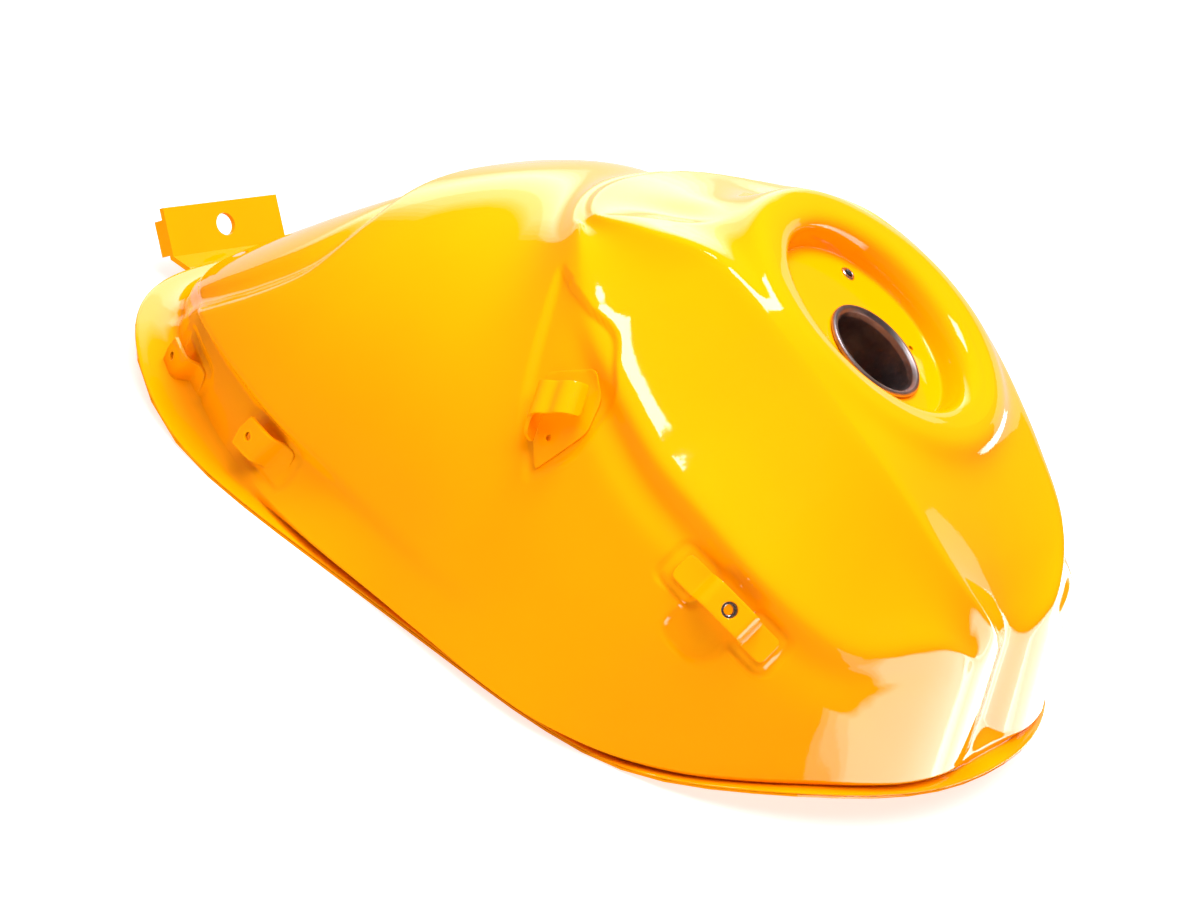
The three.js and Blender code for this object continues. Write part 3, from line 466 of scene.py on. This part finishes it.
def paint_material():
    """Yellow-orange gloss enamel under a clear coat: faint cloudiness, fine orange peel."""
    material, tree, shader = node_material("gloss_paint")
    cloud = add_noise(tree, 9.0, 3.0)
    tint = add_ramp(tree, cloud.outputs["Fac"], [(0.3, (0.98, 0.315, 0.0)), (0.7, (1.0, 0.338, 0.0))])
    tree.links.new(tint.outputs["Color"], shader.inputs["Base Color"])
    haze = add_noise(tree, 60.0, 2.0)
    level = add_range(tree, haze.outputs["Fac"], 0.3, 0.38)
    tree.links.new(level.outputs["Result"], shader.inputs["Roughness"])
    shader.inputs["Specular IOR Level"].default_value = 0.0
    shader.inputs["Coat Weight"].default_value = 0.85
    shader.inputs["Coat Roughness"].default_value = 0.035
    peel = add_noise(tree, 420.0, 1.0)
    add_bump(tree, shader, peel.outputs["Fac"], 0.00002, 0.6, ("Coat Normal",))
    return material


def metal_material(name, dark, light, roughness, grain, bump):
    """Bare or plated metal with uneven tone and fine grain."""
    material, tree, shader = node_material(name)
    shader.inputs["Metallic"].default_value = 1.0
    tone = add_noise(tree, grain, 4.0, 0.6)
    ramp = add_ramp(tree, tone.outputs["Fac"], [(0.32, dark), (0.68, light)])
    tree.links.new(ramp.outputs["Color"], shader.inputs["Base Color"])
    fine = add_noise(tree, grain * 9, 2.0)
    level = add_range(tree, fine.outputs["Fac"], roughness - 0.08, roughness + 0.1)
    tree.links.new(level.outputs["Result"], shader.inputs["Roughness"])
    add_bump(tree, shader, fine.outputs["Fac"], bump, 0.5)
    return material


def plain_material(name, colour, glow):
    material, tree, shader = node_material(name)
    tone = add_noise(tree, 0.6, 2.0)
    light = tuple(min(1.0, c * 1.01) for c in colour)
    ramp = add_ramp(tree, tone.outputs["Fac"], [(0.2, colour), (0.8, light)])
    tree.links.new(ramp.outputs["Color"], shader.inputs["Base Color"])
    shader.inputs["Roughness"].default_value = 0.9
    shader.inputs["Specular IOR Level"].default_value = 0.0
    shader.inputs["Emission Color"].default_value = (1, 1, 1, 1)
    shader.inputs["Emission Strength"].default_value = glow
    return material


paint = paint_material()
bare_steel = metal_material("bare_steel", (0.3, 0.24, 0.25), (0.62, 0.54, 0.55), 0.42, 38.0, 0.00003)
zinc = metal_material("zinc_plate", (0.5, 0.52, 0.56), (0.78, 0.8, 0.84), 0.25, 160.0, 0.00002)
inner_steel = metal_material("inner_steel", (0.28, 0.28, 0.29), (0.5, 0.5, 0.51), 0.42, 55.0, 0.00003)


# ---- bent sheet helpers ----
class FoldLine:
    """A fold line through (along, out) corners in millimetres, with rounded bends."""

    def __init__(self, corners, bend):
        corners = [np.array(c, float) for c in corners]
        points = [corners[0]]
        for before, at, after in zip(corners, corners[1:], corners[2:]):
            back, onward = before - at, after - at
            reach = min(bend, 0.45 * np.linalg.norm(back), 0.45 * np.linalg.norm(onward))
            enter = at + back / np.linalg.norm(back) * reach
            depart = at + onward / np.linalg.norm(onward) * reach
            for t in np.linspace(0, 1, 9):
                points.append((1 - t) ** 2 * enter + 2 * t * (1 - t) * at + t * t * depart)
        points.append(corners[-1])
        self.points = np.array(points)
        steps = np.linalg.norm(np.diff(self.points, axis=0), axis=1)
        self.stations = np.concatenate([[0.0], np.cumsum(steps)])
        self.length = self.stations[-1]
        tangent = np.gradient(self.points, self.stations, axis=0)
        tangent /= np.linalg.norm(tangent, axis=1)[:, None]
        self.normals = np.stack([-tangent[:, 1], tangent[:, 0]], axis=1)

    def at(self, s, height):
        """Along and out at a distance s along the line, height above it."""
        both = []
        for k in range(2):
            line = np.interp(s, self.stations, self.points[:, k])
            both.append(line + height * np.interp(s, self.stations, self.normals[:, k]))
        return both


def rounded_outline(corners, radii, step=0.8):
    """Closed outline through corners, each rounded by its radius, with points about a step apart."""
    corners = [np.array(c, float) for c in corners]
    n = len(corners)
    loop = []
    for i in range(n):
        before, at, after = corners[i - 1], corners[i], corners[(i + 1) % n]
        reach = max(radii[i] if isinstance(radii, (list, tuple)) else radii, 0.01)
        enter = at + (before - at) / np.linalg.norm(before - at) * reach
        depart = at + (after - at) / np.linalg.norm(after - at) * reach
        for t in np.linspace(0, 1, 7):
            loop.append((1 - t) ** 2 * enter + 2 * t * (1 - t) * at + t * t * depart)
    dense = []
    for i, p in enumerate(loop):
        q = loop[(i + 1) % len(loop)]
        count = max(1, int(np.linalg.norm(q - p) / step))
        for k in range(count):
            dense.append(p + (q - p) * k / count)
    return np.array(dense)


def circle_outline(centre, radius, count=40):
    turn = np.linspace(0, 2 * math.pi, count, endpoint=False)
    return np.stack([centre[0] + radius * np.cos(turn), centre[1] + radius * np.sin(turn)], axis=1)


def inside_loop(points, loop):
    """True for points inside a closed loop."""
    x, y = points[:, 0][:, None], points[:, 1][:, None]
    x0, y0 = loop[:, 0], loop[:, 1]
    x1, y1 = np.roll(x0, -1), np.roll(y0, -1)
    spans = (y0 > y) != (y1 > y)
    rise = np.where(np.abs(y1 - y0) < 1e-12, 1e-12, y1 - y0)
    crosses = spans & (x < (x1 - x0) * (y - y0) / rise + x0)
    return crosses.sum(axis=1) % 2 == 1


def flat_mesh(outline, holes, grain):
    """Triangles of a flat plate with holes: 2-D points and index triples, counter-clockwise."""
    low, high = outline.min(axis=0), outline.max(axis=0)
    xs = np.arange(low[0] + grain / 2, high[0], grain)
    ys = np.arange(low[1] + grain / 2, high[1], grain)
    inner = np.array([(x, y) for x in xs for y in ys])
    keep = inside_loop(inner, outline)
    for loop in (outline, *holes):
        gap = np.min(np.linalg.norm(inner[:, None, :] - loop[None, :, :], axis=2), axis=1)
        keep &= gap > grain * 0.55
    for loop in holes:
        keep &= ~inside_loop(inner, loop)
    points, edges = [], []
    for loop in (outline, *holes):
        first = len(points)
        points.extend(loop.tolist())
        edges.extend((first + k, first + (k + 1) % len(loop)) for k in range(len(loop)))
    points.extend(inner[keep].tolist())
    flat, _, faces, *_ = delaunay_2d_cdt([Vector(p) for p in points], edges, [], 1, 1e-6)
    flat = np.array([tuple(p) for p in flat])
    faces = np.array([tuple(f) for f in faces])
    centres = flat[faces].mean(axis=1)
    good = inside_loop(centres, outline)
    for loop in holes:
        good &= ~inside_loop(centres, loop)
    faces = faces[good]
    a, b, c = flat[faces[:, 0]], flat[faces[:, 1]], flat[faces[:, 2]]
    area = (b[:, 0] - a[:, 0]) * (c[:, 1] - a[:, 1]) - (b[:, 1] - a[:, 1]) * (c[:, 0] - a[:, 0])
    faces[area < 0] = faces[area < 0][:, ::-1]
    return flat, faces


SHEET_EDGE_ANGLE, CAD_EDGE_ANGLE = 50, 40


def soften_edges(obj, width, angle):
    """Round the edges that turn by more than an angle in degrees; width in millimetres."""
    soften = obj.modifiers.new("soft_edge", "BEVEL")
    soften.width = width / 1000
    soften.segments = 2
    soften.limit_method = "ANGLE"
    soften.angle_limit = math.radians(angle)


def sheet_object(name, outline, holes, thickness, shape, matrix, material, grain=1.3, edge=0.35):
    """Sheet piece: shape(flat points, height) gives local millimetres for its two faces."""
    flat, faces = flat_mesh(outline, holes, grain * (1))
    count = len(flat)
    points = np.concatenate([shape(flat, thickness), shape(flat, 0.0)]) / 1000
    upper = faces.tolist()
    lower = [tuple(i + count for i in tri[::-1]) for tri in upper]
    sides = {side: True for tri in upper for side in zip(tri, tri[1:] + tri[:1])}
    walls = [(b, a, a + count, b + count) for a, b in sides if (b, a) not in sides]
    polygons = upper + lower + walls
    mesh = bpy.data.meshes.new(name)
    mesh.from_pydata(points.tolist(), [], polygons)
    mesh.transform(matrix)
    if matrix.determinant() < 0:
        mesh.flip_normals()
    mesh.update()
    mesh.shade_smooth()
    obj = add_object(name, mesh)
    soften_edges(obj, edge, SHEET_EDGE_ANGLE)
    mesh.materials.append(material)
    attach(obj, "root")
    return obj


def folded(line, shear=0.0, tilt=0.0):
    """Shape of a strip bent along a fold line: flat x is across it, flat y runs along it."""
    def shape(flat, height):
        across = flat[:, 0]
        along, out = line.at(flat[:, 1] - shear * across, height)
        return np.stack([across, along + shear * across, out - tilt * across], axis=1)
    return shape


DRAPE_START, DRAPE_REACH = 25, 60.0  # rays start this deep under the seat and run this far


def draped(seat, lift):
    """Shape of a plate that lies on the skin round a seat."""
    def shape(flat, height):
        start = seat.origin + np.outer(flat[:, 0], seat.across) + np.outer(flat[:, 1], seat.along)
        start = start - DRAPE_START * seat.out
        hit = leave(start, np.tile(seat.out, (len(flat), 1)), fine_field, DRAPE_REACH, 26)
        return np.stack([flat[:, 0], flat[:, 1], (hit - seat.origin) @ seat.out + lift + height], axis=1)
    return shape


def turned_object(name, section, matrix, material, segments=96, closed=True, radius=0.3):
    """Solid of revolution round local Z from an [out, up] section in millimetres with softened corners."""
    if closed:
        profile = rounded_outline(section, radius, 1.0)
    else:
        profile = FoldLine(section, radius).points
    turn = np.arange(segments) * 2 * math.pi / segments
    rings = np.stack([
        np.outer(profile[:, 0], np.cos(turn)), np.outer(profile[:, 0], np.sin(turn)),
        np.repeat(profile[:, 1:2], segments, axis=1)], axis=-1)
    index = np.arange(rings.shape[0] * segments).reshape(-1, segments)
    if closed:
        index = np.vstack([index, index[:1]])
    onward = np.roll(index, -1, axis=1)
    quads = np.stack([index[:-1], onward[:-1], onward[1:], index[1:]], axis=-1).reshape(-1, 4)
    mesh = bpy.data.meshes.new(name)
    mesh.from_pydata((rings.reshape(-1, 3) / 1000).tolist(), [], quads.tolist())
    work = bmesh.new()
    work.from_mesh(mesh)
    bmesh.ops.remove_doubles(work, verts=work.verts, dist=1e-6)
    bmesh.ops.recalc_face_normals(work, faces=work.faces)
    work.to_mesh(mesh)
    work.free()
    mesh.transform(matrix)
    if matrix.determinant() < 0:
        mesh.flip_normals()
    mesh.shade_smooth()
    mesh.materials.append(material)
    obj = add_object(name, mesh)
    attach(obj, "root")
    return obj


def in_dish(left, forward, up):
    """Placing matrix in metres for a piece that stands in the filler dish."""
    place = DISH_CENTRE + np.array([left, 0.0, 0.0]) + forward * DISH_FORWARD + up * DISH_UP
    return Matrix.Translation(Vector(to_row(place)[0])) @ Matrix.Rotation(DISH_TILT, 4, "X")


# ---- outer shell ----
skin = grid_object("painted_shell", skin_rows())
skin.data.materials.append(paint)
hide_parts("outer_shell")
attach(skin, "root")

# ---- bent sheet pieces ----
SIDES = (("right", -1), ("left", 1))
BRACKET_SHEET, BASE_SHEET = 2.0, 1.6

# Cover brackets near the seam: a foot on the shell, a step and a raised plate with a screw hole.
cover_line = FoldLine([(-17, -2.6), (-5, -1.2), (-0.5, 5.6), (3, 6.6), (19, 6.6)], 2.2)
cover_end = cover_line.length
cover_outline = rounded_outline(
    [(-9.5, 4.5), (-2, 0), (9.5, 0), (9.5, cover_end), (-9.5, cover_end)], [2.5, 2.5, 4.0, 1.2, 1.2])
cover_hole = circle_outline((0, cover_end - 8.0), 2.4)
for place, seat in (("rear", rear_seat), ("middle", middle_seat)):
    for side, sign in SIDES:
        plate = sheet_object(
            f"{place}_cover_plate_{side}", cover_outline, [cover_hole], BRACKET_SHEET,
            folded(cover_line, -0.35), seat.matrix(sign), paint)
        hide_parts(f"{place}_cover_bracket_{side}")

# Front cover bracket: two feet and a raised bridge with a screw hole over its weld nut.
hat_line = FoldLine([(-31, -2.2), (-15.5, -0.4), (-12, 8.8), (12, 8.8), (15.5, -0.4), (31, -2.2)], 2.4)
hat_outline = rounded_outline(
    [(-7.5, 0), (7.5, 0), (7.5, hat_line.length), (-7.5, hat_line.length)], 4.0)
hat_hole = circle_outline((0, hat_line.length / 2), 4.1)
for side, sign in SIDES:
    bridge = sheet_object(
        f"front_cover_bridge_{side}", hat_outline, [hat_hole], BRACKET_SHEET, folded(hat_line),
        front_seat.matrix(sign), paint)
    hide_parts(f"front_cover_bracket_{side}")

# Hook bracket: base plate on the shell and a saddle that curls out over it.
hook_line = FoldLine(
    [(-13, 4.5), (-11.5, 11.5), (-7, 13.5), (-1, 10.5), (6, 12.0), (10.0, 9.0), (11.2, 2.0), (12, -4.0)], 3.0)
leg = hook_line.length - 12.5
hook_outline = rounded_outline(
    [(-8, 0), (9, 0), (9, hook_line.length), (-21, hook_line.length), (-19, leg + 2), (-9, leg - 3)],
    [2.5, 2.5, 1.0, 2.0, 3.0, 3.0])
base_outline = rounded_outline(
    [(-34, 12), (-14, -15), (4, -19), (19, -14), (16, 13), (-14, 16)], [3.0, 4.0, 4.0, 4.0, 3.0, 3.0], 1.0)
base_hole = circle_outline((-17.5, 6.5), 1.5, 20)
for side, sign in SIDES:
    saddle = sheet_object(
        f"hook_saddle_{side}", hook_outline, [], BRACKET_SHEET, folded(hook_line, 0.0, 0.3),
        hook_seat.matrix(sign), paint)
    base = sheet_object(
        f"hook_base_{side}", base_outline, [base_hole], BASE_SHEET, draped(hook_seat, -0.2),
        hook_seat.matrix(sign), paint, 1.6, 0.5)
    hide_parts(f"side_hook_bracket_{side}")

# ---- turned pieces ----
# Filler neck with its rolled lip.
neck_section = [
    (25.2, -34), (26.6, -34), (26.6, 0.3), (29.1, 0.3), (30.1, 1.2), (30.1, 2.5), (29.2, 3.4), (27.6, 3.4),
    (26.0, 1.6), (25.2, -1.5)]
neck_place = in_dish(0, NECK_FORWARD, -DISH_DEPTH)
neck = turned_object("neck_tube", neck_section, neck_place, bare_steel, 160, True, 0.45)
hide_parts("filler_neck")

# Zinc inserts for the cap screws.
INSERT_LEFT, INSERT_BACK = 30.2, 36.1
insert_section = [
    (0, -9), (4.2, -9), (4.2, 0.5), (3.7, 0.9), (2.9, 0.9), (2.5, 0.4), (2.5, -7), (0, -7)]
for place, sign in (("rear", 1), ("front", -1)):
    spot = in_dish(INSERT_LEFT * sign, -INSERT_BACK * sign, -DISH_DEPTH)
    insert = turned_object(f"cap_insert_{place}", insert_section, spot, zinc, 48, False, 0.15)
    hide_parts(f"cap_thread_insert_{place}")

# Weld nuts under the front bridges, with threads in their bores.
NUT_LIFT = 0.0043  # metres from the seat to the nut's lower face
THREAD_RADIUS, THREAD_DEPTH, THREAD_START, THREAD_STEP = 2.55, 0.28, 0.25, 0.325
thread = [
    (THREAD_RADIUS + THREAD_DEPTH * (k % 2), THREAD_START + THREAD_STEP * k) for k in range(13)]
nut_section = [(5, 0), (5, 3.5), (4.2, 4.4), (2.9, 4.4)] + thread[::-1]
for side, sign in SIDES:
    place = front_seat.matrix(sign) @ Matrix.Translation((0, 0, NUT_LIFT))
    nut = turned_object(f"weld_nut_{side}", nut_section, place, zinc, 48, True, 0.06)
    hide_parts(f"front_weld_nut_{side}")

# ---- carried-over CAD nodes ----
LOOKS = {"paint": paint, "bare_steel": bare_steel, "zinc": zinc, "inner_steel": inner_steel}
SLOT_OF = {row["node"]: row["material_slot"] for row in frame["record"]["subparts"]}
for node, obj in frame["nodes"].items():
    obj.data.materials.clear()
    obj.data.materials.append(LOOKS[SLOT_OF[node]])
for node, width in (("rear_mount_bracket", 0.6), ("filler_dish_floor", 0.3), ("pump_mount_ring", 0.4)):
    soften_edges(frame["nodes"][node], width, CAD_EDGE_ANGLE)

# ---- stage ----
FLOOR_HALF = 14.0
floor_mesh = bpy.data.meshes.new("floor")
floor_mesh.from_pydata(
    [(-FLOOR_HALF, -FLOOR_HALF, 0), (FLOOR_HALF, -FLOOR_HALF, 0), (FLOOR_HALF, FLOOR_HALF, 0),
     (-FLOOR_HALF, FLOOR_HALF, 0)], [], [(0, 1, 2, 3)])
floor = add_object("floor", floor_mesh)
floor.data.materials.append(plain_material("pale_floor", (0.5, 0.5, 0.5), 0.7))
floor.visible_glossy = False

# ---- lights ----
# Places on the tank that the lights face.
HOOD = Vector((-0.08, -0.19, 0.16))
FRONT_FACE = Vector((-0.03, -0.28, 0.07))


def facing_light(name, target, direction, distance, size, radiance, level=None):
    """Rectangular light that faces a target from a direction; level is the way its width runs."""
    back = Vector(direction).normalized()
    width_way = Vector(level) if level else Vector((0, 0, 1)).cross(back)
    width_way = (width_way - back * width_way.dot(back)).normalized()
    height_way = back.cross(width_way)
    light = bpy.data.lights.new(name, "AREA")
    light.shape = "RECTANGLE"
    light.size, light.size_y = size
    light.energy = radiance * math.pi * size[0] * size[1]
    obj = add_object(name, light)
    place = Matrix.Translation(target + back * distance)
    obj.matrix_world = place @ Matrix((width_way, height_way, back)).transposed().to_4x4()
    obj.visible_camera = False
    return obj


NESTED_GAP = 0.004


def soft_edged(name, target, direction, distance, size, radiance, growth):
    """Nested lights: their sum fades out toward its edges."""
    return [
        facing_light(f"{name}_{k}", target, direction, distance + NESTED_GAP * k,
                     (size[0] * scale, size[1] * scale), radiance / len(growth))
        for k, scale in enumerate(growth)]


facing_light("top_softbox", HOOD, (0.06, 0.19, 1.0), 1.3, (0.56, 0.36), 20, (1, 0, 0))
glossy_cards = soft_edged(
    "front_card", FRONT_FACE, (0.26, -0.94, -0.2), 1.0, (1.3, 0.5), 7.5, (1.0, 0.92, 0.84, 0.76))
glossy_cards += soft_edged(
    "side_card", FRONT_FACE, (0.92, -0.36, -0.22), 1.02, (0.98, 0.5), 6.5, (1.0, 0.97))
soft_edged("backdrop", HOOD, (0.62, 0.72, 0.32), 2.4, (2.1, 1.45), 2.3, (1.0, 0.9, 0.8, 0.7, 0.6))
ceiling = facing_light("ceiling", HOOD, (-0.12, -0.12, 1.0), 2.2, (2.4, 2.4), 5.5)
side_fill = facing_light("side_fill", HOOD, (-0.75, 0.4, 0.5), 2.0, (1.2, 1.2), 0.8)
glossy_cards.append(facing_light("horizon", HOOD, (0.8, 0.45, -0.1), 2.6, (5.0, 3.0), 0.9))
for card in glossy_cards:
    card.visible_diffuse = False
for fill in (ceiling, side_fill):
    fill.visible_glossy = False

world = bpy.data.worlds.new("studio")
world.use_nodes = True
world.node_tree.nodes["Background"].inputs["Color"].default_value = (1, 1, 1, 1)
world.node_tree.nodes["Background"].inputs["Strength"].default_value = 0.08
bpy.context.scene.world = world
bpy.context.scene.view_settings.view_transform = "Standard"
bpy.context.scene.view_settings.look = "None"

# ---- camera ----
camera_data = bpy.data.cameras.new("camera")
camera_data.sensor_width = 36.0
camera_data.lens = 78.39
camera_data.clip_end = 60.0
camera = add_object("camera", camera_data)
# Solved from the photograph: the way the camera's axes run, and its place in the tank's own frame.
right = Vector((0.5716, -0.7469, 0.3397))
down = Vector((-0.1604, -0.5078, -0.8464))
ahead = Vector((0.8047, 0.4293, -0.4101))
basis = Matrix((right, -down, -ahead)).transposed().to_4x4()
eye = to_row([(-1194.2, -512.0, 655.4)])[0]
camera.matrix_world = Matrix.Translation(Vector(eye)) @ basis
bpy.context.scene.camera = camera
